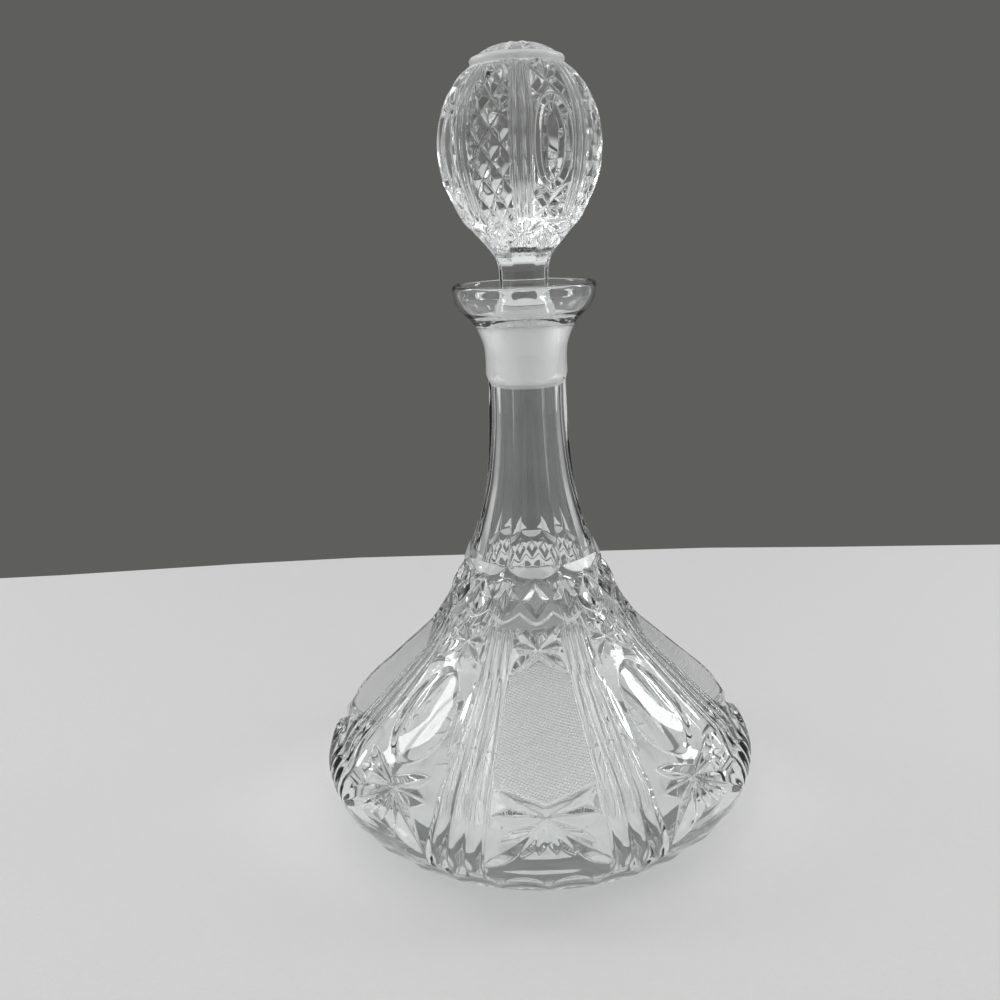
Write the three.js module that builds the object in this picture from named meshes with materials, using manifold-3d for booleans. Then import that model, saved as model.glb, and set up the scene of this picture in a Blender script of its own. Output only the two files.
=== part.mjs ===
// A stoppered glass ship's decanter: a wide, low body with a long fluted neck, pressed and
// cut with an eightfold pattern, and a solid egg-shaped stopper with a ground plug.
// Millimetres, +Z up. The origin is on the ground under the axis. Angles are in degrees
// from the front (-Y), positive towards +X, and the middle of a matt panel is at 0.

import * as THREE from 'three';
import { mergeVertices } from 'three/addons/utils/BufferGeometryUtils.js';
import Module from 'manifold-3d';

// How often each ornament goes round
const PANELS = 8;
const BAND_DIAMONDS = 16;
const FOOT_FACETS = 32;
const STEM_FLATS = 8;
const BASE_RAYS = 16;

// Outside of the body as [radius, height], from the scalloped edge of the foot to the lip
const BODY_OUTSIDE = [
  [75.6, 4],
  [81.2, 8.5],
  [87, 15],
  [89.5, 20],
  [90.2, 25], // belly, the widest
  [87.6, 31.5],
  [78.4, 43.5],
  [69, 52], // shoulder
  [47.8, 73],
  [34.9, 92],
  [28.6, 106],
  [22.9, 123],
  [18.6, 142], // neck
  [16.6, 164],
  [15.8, 188],
  [17.7, 198.5],
  [22.9, 205.4], // pouring lip
  [26.4, 209.8],
  [27.3, 215.4],
];
const FOOT_RADIUS = 71;
const FOOT_RING_WIDTH = 9;
const BASE_HOLLOW = 3;
const BASE_HOLLOW_SPREAD = 14;
const LIP_ROUND = 1.4;
const LIP_WALL = 2.6;
const LIP_BEND = 209; // height where the open lip turns outwards

// Inside of the body
const WALL = 5;
const FLOOR = 9.5;
const FLOOR_CORNER = 9;
const NECK_BORE = 11.2;

// Ground joint between neck and plug. The plug keeps a running gap to the socket.
const SOCKET_TOP = 203;
const SOCKET_LENGTH = 24;
const SOCKET_TOP_RADIUS = 12.7;
const SOCKET_BOTTOM_RADIUS = 11.7;
const SOCKET_STEP = 1; // height of the step from the bore up to the socket
const PLUG_CLEARANCE = 0.3;

// Outside of the stopper as [radius, height above the socket], from the stem to the cap
const STOPPER_OUTSIDE = [
  [9.9, 8],
  [9.3, 15.5], // stem
  [10.2, 23],
  [13.2, 28.2],
  [17.2, 33],
  [25, 43],
  [29, 54],
  [30.1, 62.5], // egg, the widest
  [28.8, 72.3],
  [24, 82.6],
  [19, 88.4],
];
// Round cap and its low dome, in the same way
const CAP_OUTSIDE = [
  [16.6, 90],
  [16.6, 91.6],
  [15.2, 92.6],
  [11.6, 94.8],
  [6.2, 96.5],
  [1.6, 97],
];
const PLUG_CHAMFER = 0.8;

// Neck flutes, each of which ends on a ledge that faces up
const FLUTE_TOP = 182;
const FLUTE_FOOT = 107.6;
const FLUTE_HALF_ANGLE = 22;
const FLUTE_DEPTH = 0.25;
const LEDGE_HEIGHT = 4;

// Band of raised diamonds under the flutes
const BAND_HEIGHT = 99.6;
const DIAMOND_HALF_HEIGHT = 6.4;
const DIAMOND_HALF_ANGLE = 10.6;
const DIAMOND_RISE = 1.9;
const DIAMOND_FLAT = 0.25; // size of the flat top, as a share of the foot

// Stars over and under each panel
const TOP_STAR_HEIGHT = 84.2;
const TOP_STAR_WIDTH = 3.6;
const LOW_STAR_HEIGHT = 38.8;
const LOW_STAR_WIDTH = 6.4;
const STAR_DEPTH = 1.7;
// Tips of the petals on one side, as [angle, height above the centre of the star]
const TOP_STAR_TIPS = [
  [12.4, 6.4],
  [13.6, 0.4],
  [13.4, -7.4],
];
const LOW_STAR_TIPS = [
  [13, 6.8],
  [13.2, 0.2],
  [15.2, -14.4],
  [4.6, -9],
];

// Matt panels: a raised field with a pointed top and foot
const FIELD_TOP = 79.6;
const FIELD_FOOT = 42.8;
const FIELD_SIDE_TOP = 76.4;
const FIELD_SIDE_FOOT = 46.6;
const FIELD_HALF_ANGLE = 14.4;
const FIELD_BORDER_WIDTH = 1.8;
const FIELD_BORDER_DEPTH = 1;

// Thumbprint panels: an oval dish between two leaf-shaped cuts
const THUMB_HEIGHT = 60.5;
const THUMB_HALF_HEIGHT = 15;
const THUMB_HALF_ANGLE = 11.8;
const THUMB_DEPTH = 2.7;
const LEAF_ANGLE = 15.7;
const LEAF_TOP = 73.5;
const LEAF_FOOT = 50.5;
const LEAF_WIDTH = 2.5;
const LEAF_DEPTH = 1.6;

// Fans of ribs between the panels
const RIB_TOP = 89.5;
const RIB_FOOT = 17;
const RIB_ANGLES = [-3.7, 0, 3.7];
const RIB_HALF_ANGLE = 1.7;
const RIB_DEPTH = 1.3;

// Hollow facets round the foot, each under an arch, and rays cut under it
const FACET_SIDE = 13.8; // height where a facet meets its neighbours
const FACET_SLOPE = 0.77; // how far it leans out for each millimetre of height
const FACET_DEPTH = 1.2;
const FACET_ENDS = [2, 26]; // heights of the cutter's ends, both outside the glass
const FACET_COLUMNS = 3;
const RAY_START = 8;
const RAY_END = 46;
const RAY_WIDTH = 7;
const RAY_DEPTH = 1.6;

// Ornament of the stopper, with heights above the socket
const STEM_FLAT_FOOT = 9.5;
const STEM_FLAT_TOP = 27;
const STEM_FLAT_HALF_ANGLE = 21;
const STEM_FLAT_DEPTH = 0.1;
const EGG_TOP = 87.2;
const EGG_FOOT = 34;
const EGG_RIB_ANGLES = [-4.6, 4.6];
const EGG_RIB_HALF_ANGLE = 2.6;
const EGG_RIB_DEPTH = 1.1;
const EGG_THUMB_HEIGHT = 61.5;
const EGG_THUMB_HALF_HEIGHT = 13.6;
const EGG_THUMB_HALF_ANGLE = 12.2;
const EGG_THUMB_DEPTH = 2;
const EGG_LEAF_ANGLE = 12.5;
const EGG_LEAF_RUN = 11;
const EGG_LEAF_WIDTH = 2.4;
const EGG_LEAF_DEPTH = 1.2;
const HOBNAIL_MIDDLE = 61;
const HOBNAIL_ROWS = 4; // half rows over and under the middle
const HOBNAIL_COLUMNS = 2; // half columns to each side of the middle
const HOBNAIL_HALF_HEIGHT = 5.6;
const HOBNAIL_HALF_ANGLE = 7.6;
const HOBNAIL_POINT_DEPTH = 0.3;
const HOBNAIL_VALLEY_DEPTH = 1.7;
const CAP_RAYS = 8;
const CAP_RAY_WIDTH = 3.4;
const CAP_RAY_DEPTH = 0.8;

// Fineness of the curves
const OUTSIDE_SEGMENTS = 40;
const INSIDE_SEGMENTS = 24;
const STOPPER_SEGMENTS = 32;
const CORNER_STEPS = 3;
const RIM_STEPS = 2;
const DISH_RINGS = 6;
const DISH_COLUMNS = 4;
const STEP_GAP = 0.5;
const SLOPE_REACH = 0.5; // how far up and down the slope of a wall is taken
const TIP_SHARE = 0.12; // share of its full width that a round cutter keeps at its tip
const PROUD = 1.5; // how far a cutter stands out of the glass
const TIP_LIFT = 0.12; // how far the two tips of a mitre cut stand out
const FLAT_CUTTER = 6; // thickness of the cutter for a flat
const WELD = 1e-4; // points nearer to each other than this are one

const wasm = await Module();
wasm.setup();

const glass = new THREE.MeshStandardMaterial({
  color: 0xe9f1ee,
  roughness: 0.04,
  metalness: 0,
});
const stopperGlass = new THREE.MeshStandardMaterial({
  color: 0xeef3f1,
  roughness: 0.04,
  metalness: 0,
});

/** Turned outer surface: an outline spun about Z, on which the ornament is laid. */
class Wall {
  constructor(outline) {
    this.outline = outline;
    this.low = outline[0][1];
    this.high = outline.at(-1)[1];
  }

  radius(height) {
    const next = this.outline.findIndex((knot) => knot[1] > height);
    if (next === 0) return this.outline[0][0];
    if (next < 0) return this.outline.at(-1)[0];
    const [[below, low], [above, high]] = this.outline.slice(next - 1, next + 1);
    return THREE.MathUtils.lerp(below, above, (height - low) / (high - low));
  }

  slope(height) {
    const above = Math.min(height + SLOPE_REACH, this.high);
    const below = Math.max(height - SLOPE_REACH, this.low);
    return (this.radius(above) - this.radius(below)) / (above - below);
  }

  /** Radius of a surface that lies the given wall thickness inside this one. */
  innerRadius(height, wall) {
    return this.radius(height) - wall * Math.hypot(1, this.slope(height));
  }

  outward(angle, height) {
    const slope = this.slope(height);
    const turn = THREE.MathUtils.degToRad(angle);
    return new THREE.Vector3(Math.sin(turn), -Math.cos(turn), -slope).normalize();
  }

  /** Point on the surface, or the given distance out of it. */
  point(angle, height, out = 0) {
    const radius = this.radius(height);
    const turn = THREE.MathUtils.degToRad(angle);
    const at = new THREE.Vector3(radius * Math.sin(turn), -radius * Math.cos(turn), height);
    return at.addScaledVector(this.outward(angle, height), out);
  }

  /** Heights of the outline's knots between two heights, with both ends. */
  heights(from, to) {
    const knots = this.outline.map(([, height]) => height);
    return [from, ...knots.filter((height) => height > from + STEP_GAP && height < to - STEP_GAP), to];
  }
}

/** Flat surface square to Z, on which ornament is laid by angle and radius. */
class Disc {
  constructor(height, facing) {
    this.height = height;
    this.facing = facing;
  }

  outward() {
    return new THREE.Vector3(0, 0, this.facing);
  }

  point(angle, radius, out = 0) {
    const turn = THREE.MathUtils.degToRad(angle);
    const height = this.height + this.facing * out;
    return new THREE.Vector3(radius * Math.sin(turn), -radius * Math.cos(turn), height);
  }
}

function range(count) {
  return Array.from({ length: count }, (_, i) => i);
}

/** Angles of a number of equal steps round the axis, starting at the given one. */
function around(count, start = 0) {
  return range(count).map((i) => start + (i * 360) / count);
}

function steps(from, to, count) {
  return range(count + 1).map((i) => THREE.MathUtils.lerp(from, to, i / count));
}

function meshGeometry(points, indices) {
  const geometry = new THREE.BufferGeometry();
  const positions = points.flatMap((point) => point.toArray());
  geometry.setAttribute('position', new THREE.Float32BufferAttribute(positions, 3));
  geometry.setIndex(indices);
  return geometry;
}

/**
 * Closed solid through equal rings of points, with a flat end at each. The quads between two
 * rings are split along one diagonal, or along alternate ones, which folds them into pyramids.
 */
function loft(rings, alternate = false) {
  const size = rings[0].length;
  const indices = [];
  for (const k of range(rings.length - 1)) {
    for (const i of range(size)) {
      const j = (i + 1) % size;
      const [a, b, c, d] = [k * size + i, k * size + j, (k + 1) * size + j, (k + 1) * size + i];
      if (alternate && (k + i) % 2 === 0) indices.push(a, b, d, b, c, d);
      else indices.push(a, b, c, a, c, d);
    }
  }
  const last = (rings.length - 1) * size;
  for (const i of range(size - 2)) {
    indices.push(0, i + 2, i + 1, last, last + i + 1, last + i + 2);
  }
  return meshGeometry(rings.flat(), indices);
}

/** Double pyramid over a ring of four corners. */
function doublePyramid(corners, top, bottom) {
  const indices = [];
  for (const i of range(4)) {
    const j = (i + 1) % 4;
    indices.push(i, j, 4, j, i, 5);
  }
  return meshGeometry([...corners, top, bottom], indices);
}

/** Solid turned about Z from [radius, height] points that run from axis to axis. */
function turned(outline, segments) {
  const points = outline.map(([radius, height]) => new THREE.Vector2(radius, height));
  return new THREE.LatheGeometry(points, segments).rotateX(Math.PI / 2);
}

/** Six times the volume inside a closed mesh, negative when its faces point in. */
function signedVolume(geometry) {
  const position = geometry.getAttribute('position');
  const corner = (i) => new THREE.Vector3().fromBufferAttribute(position, geometry.index.getX(i));
  let sum = 0;
  for (let i = 0; i < geometry.index.count; i += 3) {
    sum += corner(i).dot(corner(i + 1).cross(corner(i + 2)));
  }
  return sum;
}

function toSolid(geometry) {
  const bare = geometry.clone();
  bare.deleteAttribute('normal');
  bare.deleteAttribute('uv');
  const merged = mergeVertices(bare, WELD);
  const triVerts = Uint32Array.from(merged.index.array);
  if (signedVolume(merged) < 0) triVerts.reverse();
  const vertProperties = Float32Array.from(merged.getAttribute('position').array);
  return new wasm.Manifold(new wasm.Mesh({ numProp: 3, vertProperties, triVerts }));
}

function toGeometry(solid) {
  const { vertProperties, triVerts } = solid.getMesh();
  const geometry = new THREE.BufferGeometry();
  geometry.setAttribute('position', new THREE.BufferAttribute(vertProperties, 3));
  geometry.setIndex(new THREE.BufferAttribute(triVerts, 1));
  geometry.computeVertexNormals();
  return geometry;
}

/** One solid from many, joined in pairs so that no step grows too large. */
function joined(solids) {
  let parts = solids;
  while (parts.length > 1) {
    const pairs = range(Math.ceil(parts.length / 2)).map((i) => parts.slice(2 * i, 2 * i + 2));
    parts = pairs.map(([a, b]) => (b ? a.add(b) : a));
  }
  return parts[0];
}

/** Mitre cut: a straight V-shaped valley between two points of a wall, each [angle, height]. */
function mitre(wall, from, to, width, depth) {
  const [angle, height] = [(from[0] + to[0]) / 2, (from[1] + to[1]) / 2];
  const [start, end] = [wall.point(...from, TIP_LIFT), wall.point(...to, TIP_LIFT)];
  const out = wall.outward(angle, height);
  const across = end.clone().sub(start).cross(out).setLength(width / 2);
  const middle = wall.point(angle, height);
  const corners = [start, middle.clone().add(across), end, middle.clone().sub(across)];
  return doublePyramid(corners, wall.point(angle, height, depth), wall.point(angle, height, -depth));
}

/** Raised diamond at the front, with four sloping facets and a flat top. */
function diamond(wall) {
  const ring = (size, out) => [
    wall.point(-size * DIAMOND_HALF_ANGLE, BAND_HEIGHT, out),
    wall.point(0, BAND_HEIGHT - size * DIAMOND_HALF_HEIGHT, out),
    wall.point(size * DIAMOND_HALF_ANGLE, BAND_HEIGHT, out),
    wall.point(0, BAND_HEIGHT + size * DIAMOND_HALF_HEIGHT, out),
  ];
  return loft([ring(1, -DIAMOND_RISE), ring(1, 0), ring(DIAMOND_FLAT, DIAMOND_RISE)]);
}

/** Star of mitre cuts. Its tips are given for one side and repeated on the other. */
function star(wall, angle, height, tips, width, depth) {
  return tips.flatMap(([aside, above]) =>
    [-1, 1].map((side) =>
      mitre(wall, [angle, height], [angle + side * aside, height + above], width, depth),
    ),
  );
}

/** V-shaped valley that follows the wall at one angle and runs out at both ends. */
function meridianGroove(wall, angle, top, foot, halfAngle, depth) {
  const spread = halfAngle * (1 + PROUD / depth);
  const rings = wall.heights(foot, top).map((height, i, all) => {
    const ends = i === 0 || i === all.length - 1;
    return [
      wall.point(angle - spread, height, PROUD),
      wall.point(angle, height, ends ? 0 : -depth),
      wall.point(angle + spread, height, PROUD),
    ];
  });
  return loft(rings);
}

/** Ring for lofting a hollow: its floor lies at the given depths, and its back is proud. */
function hollowRing(wall, height, halfAngle, depths) {
  const across = steps(-halfAngle, halfAngle, depths.length - 1);
  const floor = across.map((angle, i) => wall.point(angle, height, -depths[i]));
  const back = steps(halfAngle, -halfAngle, 2).map((angle) => wall.point(angle, height, PROUD));
  return [...floor, ...back];
}

/** Oval dish with its deepest point on the wall, as a thumbprint. */
function thumbprint(wall, height, halfAngle, halfHeight, depth) {
  const halfWidth = wall.radius(height) * THREE.MathUtils.degToRad(halfAngle);
  const rings = steps(-Math.PI / 2, Math.PI / 2, DISH_RINGS).map((turn) => {
    const chord = Math.max(Math.cos(turn), TIP_SHARE);
    const at = height + Math.sin(turn) * halfHeight;
    const reach = THREE.MathUtils.radToDeg((halfWidth * chord) / wall.radius(at));
    const floor = steps(-1, 1, DISH_COLUMNS).map((side) => depth * (1 - side * side) * chord * chord);
    return hollowRing(wall, at, reach, floor);
  });
  return loft(rings);
}

/** Ring for lofting a flat: its floor lies square to the front at a distance from the axis. */
function flatRing(height, distance, halfAngle) {
  const side = distance * Math.tan(THREE.MathUtils.degToRad(halfAngle));
  return [
    new THREE.Vector3(-side, -distance, height),
    new THREE.Vector3(side, -distance, height),
    new THREE.Vector3(side, -distance - FLAT_CUTTER, height),
    new THREE.Vector3(-side, -distance - FLAT_CUTTER, height),
  ];
}

/** Rings of a flat down a wall, as wide as twice the angle and a little deeper than its edges. */
function flatRings(wall, foot, top, halfAngle, depth) {
  const edge = Math.cos(THREE.MathUtils.degToRad(halfAngle));
  return wall
    .heights(foot, top)
    .map((height) => flatRing(height, wall.radius(height) * edge - depth, halfAngle));
}

/** Flat flute down the neck, which ends on a steep ledge where the neck spreads. */
function flute(wall) {
  const ledge = flatRing(FLUTE_FOOT, wall.radius(FLUTE_FOOT), FLUTE_HALF_ANGLE);
  const foot = FLUTE_FOOT + LEDGE_HEIGHT;
  return loft([ledge, ...flatRings(wall, foot, FLUTE_TOP, FLUTE_HALF_ANGLE, FLUTE_DEPTH)]);
}

/** Cutter for one hollow facet round the foot, which leans out and meets its neighbours. */
function footFacet(wall) {
  const halfAngle = Math.PI / FOOT_FACETS;
  const distance = wall.radius(FACET_SIDE) * Math.cos(halfAngle);
  const reach = wall.radius(FACET_ENDS[1]) * Math.sin(halfAngle);
  const rings = FACET_ENDS.map((height) => {
    const edge = distance + (height - FACET_SIDE) * FACET_SLOPE;
    const floor = steps(-1, 1, FACET_COLUMNS).map(
      (side) => new THREE.Vector3(side * reach, FACET_DEPTH * (1 - side * side) - edge, height),
    );
    const back = [1, -1].map((side) => new THREE.Vector3(side * reach, -edge - FLAT_CUTTER, height));
    return [...floor, ...back];
  });
  return loft(rings);
}

/** Copies of a cutter turned about Z by each angle. */
function repeated(geometry, angles) {
  const solid = toSolid(geometry);
  return angles.map((angle) => solid.rotate([0, 0, angle]));
}

/** Solid of the outside, with the hollow under the foot. */
function bodyBlank(wall) {
  const [lipRadius, lipHeight] = BODY_OUTSIDE.at(-1);
  const rim = steps(0, Math.PI / 2, RIM_STEPS).map((turn) => [
    lipRadius - LIP_ROUND * (1 - Math.cos(turn)),
    lipHeight + LIP_ROUND * Math.sin(turn),
  ]);
  return turned(
    [
      [0, BASE_HOLLOW],
      [FOOT_RADIUS - FOOT_RING_WIDTH - BASE_HOLLOW_SPREAD, BASE_HOLLOW],
      [FOOT_RADIUS - FOOT_RING_WIDTH, 0],
      [FOOT_RADIUS, 0],
      ...wall.outline,
      ...rim.slice(1),
      [0, lipHeight + LIP_ROUND],
    ],
    OUTSIDE_SEGMENTS,
  );
}

/** Solid of the air inside: the well, the neck bore, the tapered socket and the open lip. */
function bodyHollow(wall) {
  const [lipRadius, lipHeight] = BODY_OUTSIDE.at(-1);
  const socketBottom = SOCKET_TOP - SOCKET_LENGTH;
  const wellEdge = wall.innerRadius(FLOOR + FLOOR_CORNER, WALL);
  const corner = new THREE.QuadraticBezierCurve(
    new THREE.Vector2(wellEdge - FLOOR_CORNER, FLOOR),
    new THREE.Vector2(wellEdge, FLOOR),
    new THREE.Vector2(wellEdge, FLOOR + FLOOR_CORNER),
  );
  const well = wall
    .heights(FLOOR + FLOOR_CORNER, socketBottom - SOCKET_STEP)
    .slice(1)
    .map((height) => [Math.max(wall.innerRadius(height, WALL), NECK_BORE), height]);
  const mouth = lipRadius - LIP_WALL;
  return turned(
    [
      [0, FLOOR],
      ...corner.getPoints(CORNER_STEPS).map(({ x, y }) => [x, y]),
      ...well,
      [SOCKET_BOTTOM_RADIUS, socketBottom],
      [SOCKET_TOP_RADIUS, SOCKET_TOP],
      [SOCKET_TOP_RADIUS + LIP_WALL, SOCKET_TOP + LIP_WALL],
      [wall.innerRadius(LIP_BEND, LIP_WALL), LIP_BEND],
      [mouth, lipHeight],
      [mouth + LIP_ROUND, lipHeight + LIP_ROUND],
      [mouth + LIP_ROUND, lipHeight + 2 * LIP_ROUND],
      [0, lipHeight + 2 * LIP_ROUND],
    ],
    INSIDE_SEGMENTS,
  );
}

function buildBody() {
  const wall = new Wall(BODY_OUTSIDE);
  const everyPanel = around(PANELS);
  const mattPanels = around(PANELS / 2);
  const thumbPanels = around(PANELS / 2, 360 / PANELS);
  const ribFans = around(PANELS, 180 / PANELS);
  const field = [
    [[0, FIELD_TOP], [FIELD_HALF_ANGLE, FIELD_SIDE_TOP]],
    [[0, FIELD_TOP], [-FIELD_HALF_ANGLE, FIELD_SIDE_TOP]],
    [[0, FIELD_FOOT], [FIELD_HALF_ANGLE, FIELD_SIDE_FOOT]],
    [[0, FIELD_FOOT], [-FIELD_HALF_ANGLE, FIELD_SIDE_FOOT]],
  ].map(([from, to]) => mitre(wall, from, to, FIELD_BORDER_WIDTH, FIELD_BORDER_DEPTH));
  const leaves = [-LEAF_ANGLE, LEAF_ANGLE].map((angle) =>
    mitre(wall, [angle, LEAF_FOOT], [angle, LEAF_TOP], LEAF_WIDTH, LEAF_DEPTH),
  );
  const ribs = RIB_ANGLES.map((angle) =>
    meridianGroove(wall, angle, RIB_TOP, RIB_FOOT, RIB_HALF_ANGLE, RIB_DEPTH),
  );
  const topStar = star(wall, 0, TOP_STAR_HEIGHT, TOP_STAR_TIPS, TOP_STAR_WIDTH, STAR_DEPTH);
  const lowStar = star(wall, 0, LOW_STAR_HEIGHT, LOW_STAR_TIPS, LOW_STAR_WIDTH, STAR_DEPTH);
  const base = new Disc(BASE_HOLLOW, -1);
  const ray = mitre(base, [0, RAY_START], [0, RAY_END], RAY_WIDTH, RAY_DEPTH);
  const cuts = [
    [[flute(wall)], everyPanel],
    [[...topStar, ...lowStar], everyPanel],
    [field, mattPanels],
    [[thumbprint(wall, THUMB_HEIGHT, THUMB_HALF_ANGLE, THUMB_HALF_HEIGHT, THUMB_DEPTH)], thumbPanels],
    [leaves, thumbPanels],
    [ribs, ribFans],
    [[footFacet(wall)], around(FOOT_FACETS, 180 / FOOT_FACETS)],
    [[ray], around(BASE_RAYS)],
  ];
  const diamonds = repeated(diamond(wall), around(BAND_DIAMONDS));
  const tools = cuts.flatMap(([shapes, angles]) => shapes.flatMap((shape) => repeated(shape, angles)));
  return toSolid(bodyBlank(wall))
    .subtract(joined(tools))
    .add(joined(diamonds))
    .subtract(toSolid(bodyHollow(wall)));
}

/** Cutter that leaves a panel of hobnails: its floor touches their points and valleys by turns. */
function hobnailPanel(wall, angle) {
  const columns = steps(-HOBNAIL_COLUMNS, HOBNAIL_COLUMNS, 2 * HOBNAIL_COLUMNS);
  const rows = steps(-HOBNAIL_ROWS, HOBNAIL_ROWS, 2 * HOBNAIL_ROWS);
  const rings = rows.map((row, k) => {
    const height = HOBNAIL_MIDDLE + row * HOBNAIL_HALF_HEIGHT;
    const floor = columns.map((column, i) => {
      const depth = (k + i) % 2 === 0 ? HOBNAIL_POINT_DEPTH : HOBNAIL_VALLEY_DEPTH;
      return wall.point(angle + column * HOBNAIL_HALF_ANGLE, height, -depth);
    });
    const back = [...columns].reverse().map((column) =>
      wall.point(angle + column * HOBNAIL_HALF_ANGLE, height, PROUD),
    );
    return [...floor, ...back];
  });
  return loft(rings, true);
}

/** Solid of the stopper before it is cut: plug, stem, egg, cap and dome. */
function stopperBlank(egg, cap) {
  const plugTop = SOCKET_TOP_RADIUS - PLUG_CLEARANCE;
  const plugBottom = SOCKET_BOTTOM_RADIUS - PLUG_CLEARANCE;
  return turned(
    [
      [0, -SOCKET_LENGTH],
      [plugBottom - PLUG_CHAMFER, -SOCKET_LENGTH],
      [plugBottom, -SOCKET_LENGTH + PLUG_CHAMFER],
      [plugTop, 0],
      ...egg.outline,
      ...cap.outline,
      [0, cap.high],
    ],
    STOPPER_SEGMENTS,
  );
}

function buildStopper() {
  const egg = new Wall(STOPPER_OUTSIDE);
  const cap = new Wall(CAP_OUTSIDE);
  const panelWidth = 360 / PANELS;
  const thumbPanels = around(PANELS / 2, panelWidth / 2);
  const ribs = EGG_RIB_ANGLES.map((angle) =>
    meridianGroove(egg, angle, EGG_TOP, EGG_FOOT, EGG_RIB_HALF_ANGLE, EGG_RIB_DEPTH),
  );
  const dish = thumbprint(
    egg,
    EGG_THUMB_HEIGHT,
    EGG_THUMB_HALF_ANGLE,
    EGG_THUMB_HALF_HEIGHT,
    EGG_THUMB_DEPTH,
  );
  const leaves = [-EGG_LEAF_ANGLE, EGG_LEAF_ANGLE].flatMap((angle) => [
    mitre(egg, [0, EGG_TOP], [angle, EGG_TOP - EGG_LEAF_RUN], EGG_LEAF_WIDTH, EGG_LEAF_DEPTH),
    mitre(egg, [0, EGG_FOOT], [angle, EGG_FOOT + EGG_LEAF_RUN], EGG_LEAF_WIDTH, EGG_LEAF_DEPTH),
  ]);
  const [rayStart, rayEnd] = [CAP_OUTSIDE.at(-2), CAP_OUTSIDE[2]].map(([, height]) => [0, height]);
  const capRay = mitre(cap, rayStart, rayEnd, CAP_RAY_WIDTH, CAP_RAY_DEPTH);
  const stemFlat = loft(
    flatRings(egg, STEM_FLAT_FOOT, STEM_FLAT_TOP, STEM_FLAT_HALF_ANGLE, STEM_FLAT_DEPTH),
  );
  const cuts = [
    [[stemFlat], around(STEM_FLATS, 180 / STEM_FLATS)],
    [ribs, around(PANELS)],
    [[dish, ...leaves], thumbPanels],
    [[hobnailPanel(egg, -panelWidth / 2)], around(PANELS / 2)],
    [[capRay], around(CAP_RAYS)],
  ];
  const tools = cuts.flatMap(([shapes, angles]) => shapes.flatMap((shape) => repeated(shape, angles)));
  return toSolid(stopperBlank(egg, cap)).subtract(joined(tools));
}

const decanter = new THREE.Group();

const body = new THREE.Mesh(toGeometry(buildBody()), glass);
body.name = 'decanter_body';
decanter.add(body);

const stopper = new THREE.Mesh(toGeometry(buildStopper()), stopperGlass);
stopper.name = 'stopper';
stopper.position.z = SOCKET_TOP;
decanter.add(stopper);

export default decanter;
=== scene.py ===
"""A stoppered glass ship's decanter on a pale table.

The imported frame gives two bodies, the decanter and its stopper. Both are built again here
as turned skins of glass, whose outlines are displaced by the pressed and cut ornament:
flutes, diamonds, stars, matt panels, thumbprints and ribs on the decanter, and hobnails,
ribs and thumbprints on the stopper. Sizes are in millimetres and angles in degrees from
the front, positive towards +X, until a mesh is made. Shader values are the same.
"""

import logging
import math
from collections.abc import Callable
from dataclasses import dataclass
from enum import Enum
from functools import reduce

import bpy
import numpy as np
from mathutils import Matrix, Vector


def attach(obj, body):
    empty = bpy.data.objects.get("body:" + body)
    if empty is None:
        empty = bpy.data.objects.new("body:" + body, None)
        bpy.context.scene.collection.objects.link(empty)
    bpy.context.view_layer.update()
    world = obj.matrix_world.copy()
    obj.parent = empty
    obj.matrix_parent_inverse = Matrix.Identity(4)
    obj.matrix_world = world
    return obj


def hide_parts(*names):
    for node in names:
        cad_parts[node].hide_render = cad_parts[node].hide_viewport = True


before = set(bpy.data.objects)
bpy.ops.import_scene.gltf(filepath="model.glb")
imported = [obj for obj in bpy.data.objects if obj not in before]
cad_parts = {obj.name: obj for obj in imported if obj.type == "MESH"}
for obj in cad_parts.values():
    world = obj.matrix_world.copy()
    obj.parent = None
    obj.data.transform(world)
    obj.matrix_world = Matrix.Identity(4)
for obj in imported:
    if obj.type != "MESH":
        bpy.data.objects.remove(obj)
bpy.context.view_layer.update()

MM = 0.001
DEGREE = math.pi / 180
PANEL = 45.0  # One eighth of the pattern
RIB_MIDDLE = 21.45  # From a matt panel to the middle of a fan of ribs
RIB_PITCH = 4.4  # Between the ribs of a fan
FAN_EDGE = 1.5 * RIB_PITCH  # From the middle of a fan to its outer valleys
ROUNDNESS = 0.97  # How near a rib's section comes to a half circle
PETAL_PEAK = 0.55  # Share of a petal that keeps its full depth
EDGE_BLEND = 0.3  # How wide the edges of a piece count as seen from the side
EDGE_SHADE = 0.38  # Light that those edges hold back
FINE = 0.05  # Between samples of a fine outline
NO_RADIUS = 1e-6  # Below this, a row is a point on the axis
NO_AREA = 1e-14  # Below this, a face has no normal
LOG = logging.getLogger("decanter")

Pair = tuple[float, float]
Pairs = tuple[Pair, ...]
Colour = tuple[float, float, float]
Place = tuple[float, float, float]
Grid = np.ndarray  # Mostly rows by columns of a skin
Piece = bpy.types.Object


# Shader maths


def operator(operation: str) -> Callable[..., "Socket"]:
    """Method of a shader value that makes a Math node of one kind."""
    return lambda value, *others: value.math(operation, *others)


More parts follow.
